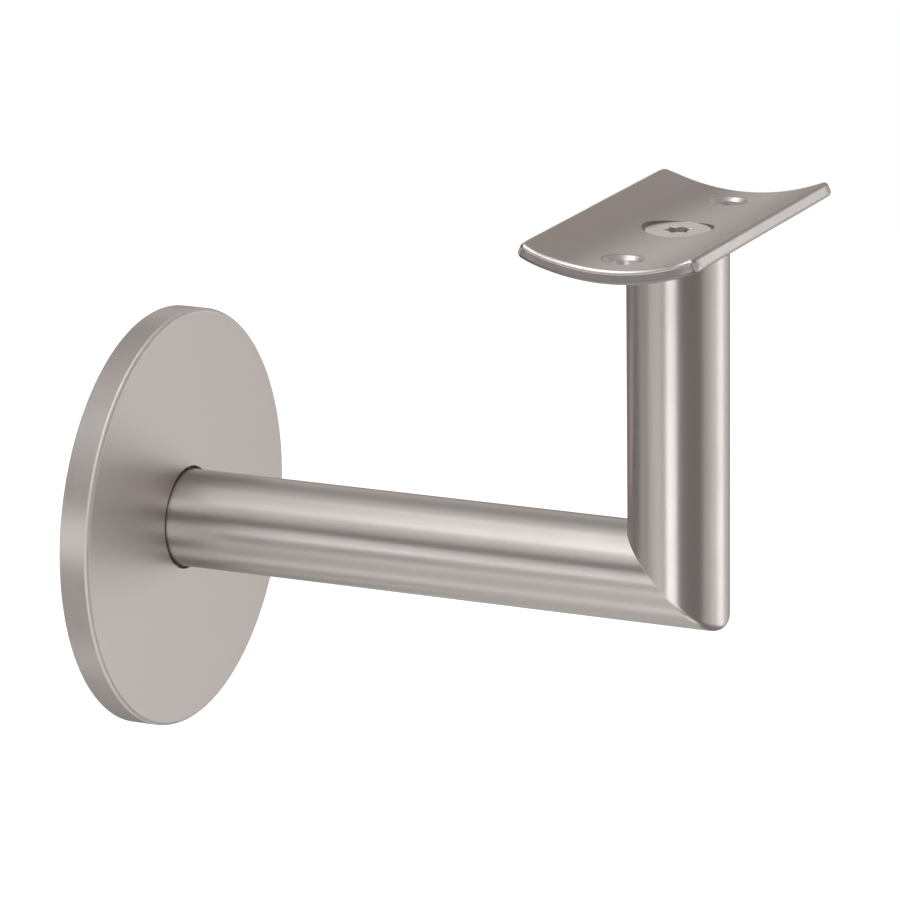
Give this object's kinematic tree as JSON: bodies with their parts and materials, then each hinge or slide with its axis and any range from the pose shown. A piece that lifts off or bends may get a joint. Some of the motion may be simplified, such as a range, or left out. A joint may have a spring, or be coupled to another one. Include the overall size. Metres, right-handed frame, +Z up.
{
  "type": "handrail bracket",
  "caption": "Wall-mounted handrail bracket: round cover rose, horizontal and upright round bars mitred together, and a curved saddle plate that carries the rail.",
  "frame": {"origin": "on the wall plane, on the axis of the horizontal bar and in the middle of the wall screw circle", "axes": "+X out of the wall along the horizontal bar, +Z up towards the handrail, Y along the handrail"},
  "size_m": [0.0931, 0.06, 0.0812],
  "materials": {
    "rose_steel": "satin brushed stainless steel, fine circular grain",
    "bar_steel": "satin brushed stainless steel, grain round the bar",
    "plate_steel": "satin brushed stainless steel, grain along the plate",
    "flange_steel": "plain cut stainless steel, out of sight",
    "weld_steel": "ground weld metal",
    "screw_steel": "bright stainless steel"
  },
  "bodies": {
    "root": {"cover_rose": "rose_steel", "wall_flange": "flange_steel", "flange_weld": "weld_steel", "arm_bar": "bar_steel", "post_bar": "bar_steel", "saddle_plate": "plate_steel", "saddle_screw": "screw_steel"}
  },
  "joints": []
}
